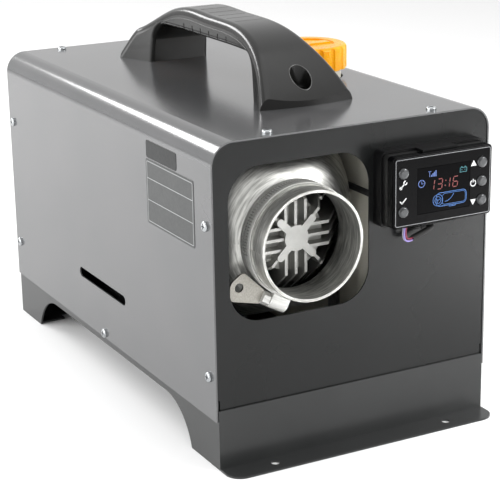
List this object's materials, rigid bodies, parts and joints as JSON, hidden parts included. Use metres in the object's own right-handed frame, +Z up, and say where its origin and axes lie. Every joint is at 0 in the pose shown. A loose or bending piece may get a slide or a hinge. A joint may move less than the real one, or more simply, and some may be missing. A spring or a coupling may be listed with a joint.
{
  "type": "diesel air heater",
  "caption": "Portable fuel-burning air heater in a folded sheet-metal case, with a carrying handle, filler cap, front hot-air spigot with hose clamp, and a display controller.",
  "frame": {"origin": "middle of the heater's footprint on the floor", "axes": "+Z up, +Y from the front with the hot-air spigot to the back, +X to the right seen from the front"},
  "size_m": [0.2346, 0.4328, 0.2925],
  "materials": {
    "case_paint": "satin",
    "cover_paint": "satin metallic",
    "zinc_screw": "bright zinc",
    "black_plastic": "fine grain",
    "black_gloss": "polished",
    "grey_plastic": "smooth",
    "cap_plastic": "slightly see-through",
    "tank_plastic": "natural polyethylene",
    "cast_aluminium": "as cast",
    "bright_steel": "bright",
    "steel_sheet": "plain",
    "rubber": "matt",
    "hose_rubber": "smooth",
    "display_glass": "polished",
    "circuit_board": "lacquered",
    "wire_cores": "smooth",
    "brass": "plain"
  },
  "bodies": {
    "case": {"base_tray": "case_paint", "blower_cover": "cast_aluminium", "blower_housing": "cast_aluminium", "bracket_nuts": "zinc_screw", "burner": "steel_sheet", "burner_gasket": "rubber", "clamp_band": "bright_steel", "clamp_housing": "bright_steel", "control_unit": "black_plastic", "controller_back": "black_plastic", "controller_bezel": "black_gloss", "controller_board": "circuit_board", "controller_holder": "grey_plastic", "controller_lead": "rubber", "cover": "cover_paint", "cover_screws": "zinc_screw", "display_window": "display_glass", "exhaust_pipe": "steel_sheet", "foot_gasket": "rubber", "front_panel": "case_paint", "fuel_filter": "grey_plastic", "fuel_hoses": "hose_rubber", "fuel_pickup": "brass", "fuel_pump": "steel_sheet", "fuel_tank": "tank_plastic", "glow_plug": "steel_sheet", "handle": "black_plastic", "handle_nuts": "zinc_screw", "handle_screws": "zinc_screw", "heat_exchanger": "cast_aluminium", "heater_bracket": "steel_sheet", "inner_screws": "zinc_screw", "intake_pipe": "steel_sheet", "lead_wires": "wire_cores", "motor": "steel_sheet", "motor_bearings": "bright_steel", "mounting_foot": "cast_aluminium", "overheat_sensor": "black_plastic", "panel_grommet": "rubber", "power_gland": "black_plastic", "pump_clip": "rubber", "rear_grille": "black_plastic", "rear_panel": "case_paint", "shell_lower": "bright_steel", "shell_upper": "bright_steel", "tank_straps": "steel_sheet", "wiring": "rubber"},
    "cap_carrier": {"cap_seal": "rubber"},
    "cap": {"fuel_cap": "cap_plastic"},
    "rotor": {"motor_shaft": "bright_steel", "fan_wheel": "black_plastic", "combustion_impeller": "cast_aluminium"},
    "clamp_drive": {"clamp_screw": "bright_steel", "wing_key": "bright_steel"},
    "menu_key": {"button_menu": "black_plastic"},
    "ok_key": {"button_ok": "black_plastic"},
    "up_key": {"button_up": "black_plastic"},
    "power_key": {"button_power": "black_plastic"},
    "down_key": {"button_down": "black_plastic"}
  },
  "joints": [
    {"name": "menu_press", "type": "slide", "parent": "case", "child": "menu_key", "axis": [0, 1, 0], "range_m": [0, 0.0008], "stiffness_N_per_m": 400},
    {"name": "ok_press", "type": "slide", "parent": "case", "child": "ok_key", "axis": [0, 1, 0], "range_m": [0, 0.0008], "stiffness_N_per_m": 400},
    {"name": "up_press", "type": "slide", "parent": "case", "child": "up_key", "axis": [0, 1, 0], "range_m": [0, 0.0008], "stiffness_N_per_m": 400},
    {"name": "power_press", "type": "slide", "parent": "case", "child": "power_key", "axis": [0, 1, 0], "range_m": [0, 0.0008], "stiffness_N_per_m": 400},
    {"name": "down_press", "type": "slide", "parent": "case", "child": "down_key", "axis": [0, 1, 0], "range_m": [0, 0.0008], "stiffness_N_per_m": 400},
    {"name": "cap_lift", "type": "slide", "parent": "case", "child": "cap_carrier", "axis": [0, 0, 1], "range_m": [0, 0.006]},
    {"name": "cap_turn", "type": "hinge", "parent": "cap_carrier", "child": "cap", "pos_m": [0.057, -0.0238, 0.2475], "axis": [0, 0, 1], "range_deg": [0, 540]},
    {"name": "fan_spin", "type": "hinge", "parent": "case", "child": "rotor", "pos_m": [-0.046, 0.1082, 0.162], "axis": [0, 1, 0], "continuous": true},
    {"name": "clamp_turn", "type": "hinge", "parent": "case", "child": "clamp_drive", "pos_m": [-0.06881, -0.1878, 0.11999], "axis": [0.8788, 0, -0.4772], "range_deg": [-720, 720]}
  ],
  "couplings": [
    {"joint": "cap_lift", "follows": "cap_turn", "m_per_rad": 0.000636}
  ]
}
